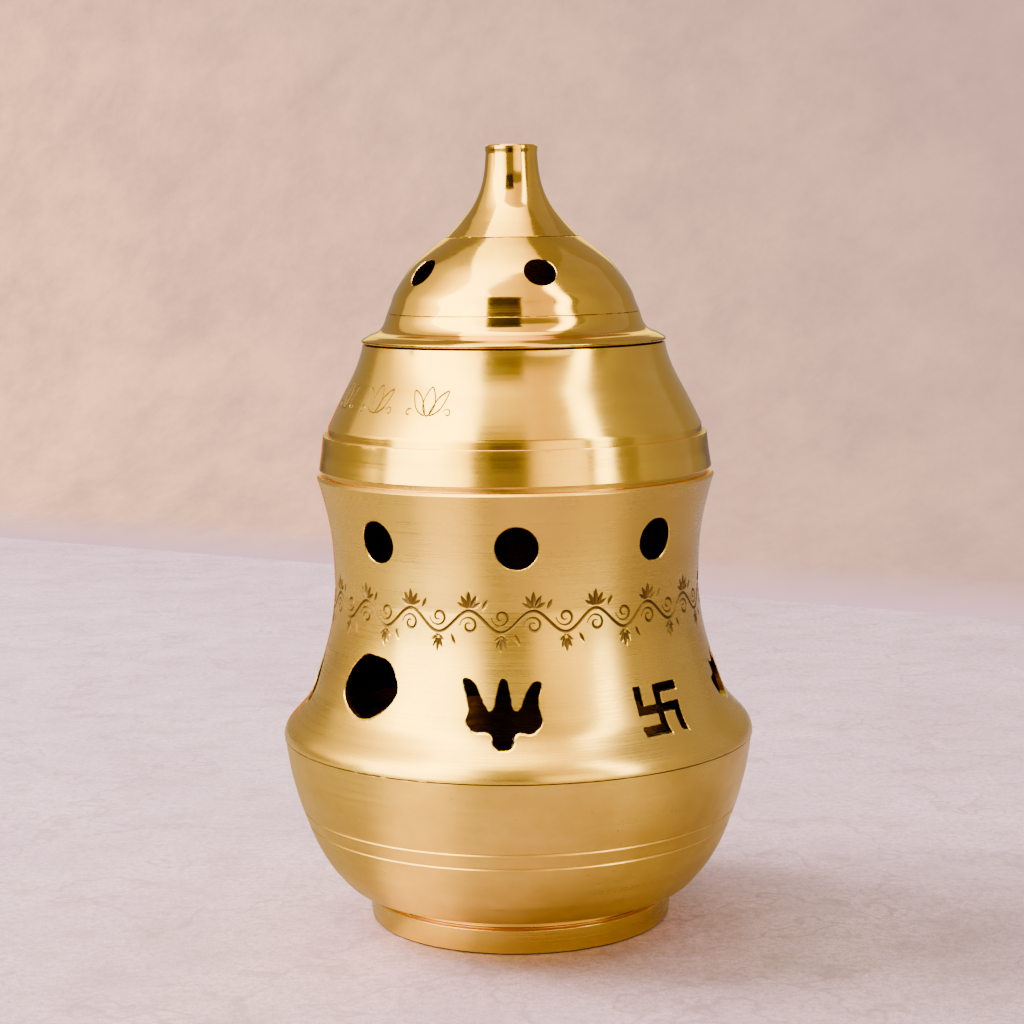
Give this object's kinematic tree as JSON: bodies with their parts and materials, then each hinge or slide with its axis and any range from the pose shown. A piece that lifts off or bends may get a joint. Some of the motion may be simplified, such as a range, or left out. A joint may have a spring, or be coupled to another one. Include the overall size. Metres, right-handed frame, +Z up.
{
  "type": "covered brass oil lamp",
  "caption": "Kalash-shaped brass oil lamp: footed oil bowl, wick stand, pierced wind shield, shoulder cover with a hanging cup, and a pierced lid with a spout.",
  "frame": {"origin": "centre of the foot ring's underside, on the surface the lamp stands on", "axes": "+Z up along the axis that every piece is turned about; -Y is the side with the trident motif"},
  "size_m": [0.1384, 0.1384, 0.2262],
  "materials": {
    "satin_brass": "satin, fine turning lines",
    "matte_brass": "matte, fine cast grain",
    "plain_brass": "satin",
    "bright_brass": "polished",
    "cotton": "matte, twisted cotton"
  },
  "bodies": {
    "base": {"foot_ring": "satin_brass", "oil_bowl": "matte_brass"},
    "wick_stand": {"stand_foot": "plain_brass", "wick_tube": "plain_brass", "drip_dish": "plain_brass"},
    "wick": {"cotton_wick": "cotton"},
    "shield": {"wind_shield": "satin_brass"},
    "shoulder": {"shoulder_band": "satin_brass", "shoulder_dome": "satin_brass"},
    "cup": {"dhoop_cup": "plain_brass"},
    "lid": {"lid_rim": "bright_brass", "lid_dome": "bright_brass", "lid_spout": "bright_brass"}
  },
  "joints": [
    {"name": "shield_lift", "type": "slide", "parent": "base", "child": "shield", "axis": [0, 0, 1], "range_m": [0, 0.1]},
    {"name": "shoulder_lift", "type": "slide", "parent": "shield", "child": "shoulder", "axis": [0, 0, 1], "range_m": [0, 0.06]},
    {"name": "cup_lift", "type": "slide", "parent": "shoulder", "child": "cup", "axis": [0, 0, 1], "range_m": [0, 0.04]},
    {"name": "lid_lift", "type": "slide", "parent": "cup", "child": "lid", "axis": [0, 0, 1], "range_m": [0, 0.05]},
    {"name": "stand_lift", "type": "slide", "parent": "base", "child": "wick_stand", "axis": [0, 0, 1], "range_m": [0, 0.08]},
    {"name": "wick_feed", "type": "slide", "parent": "wick_stand", "child": "wick", "axis": [0, 0, 1], "range_m": [0, 0.012]}
  ]
}
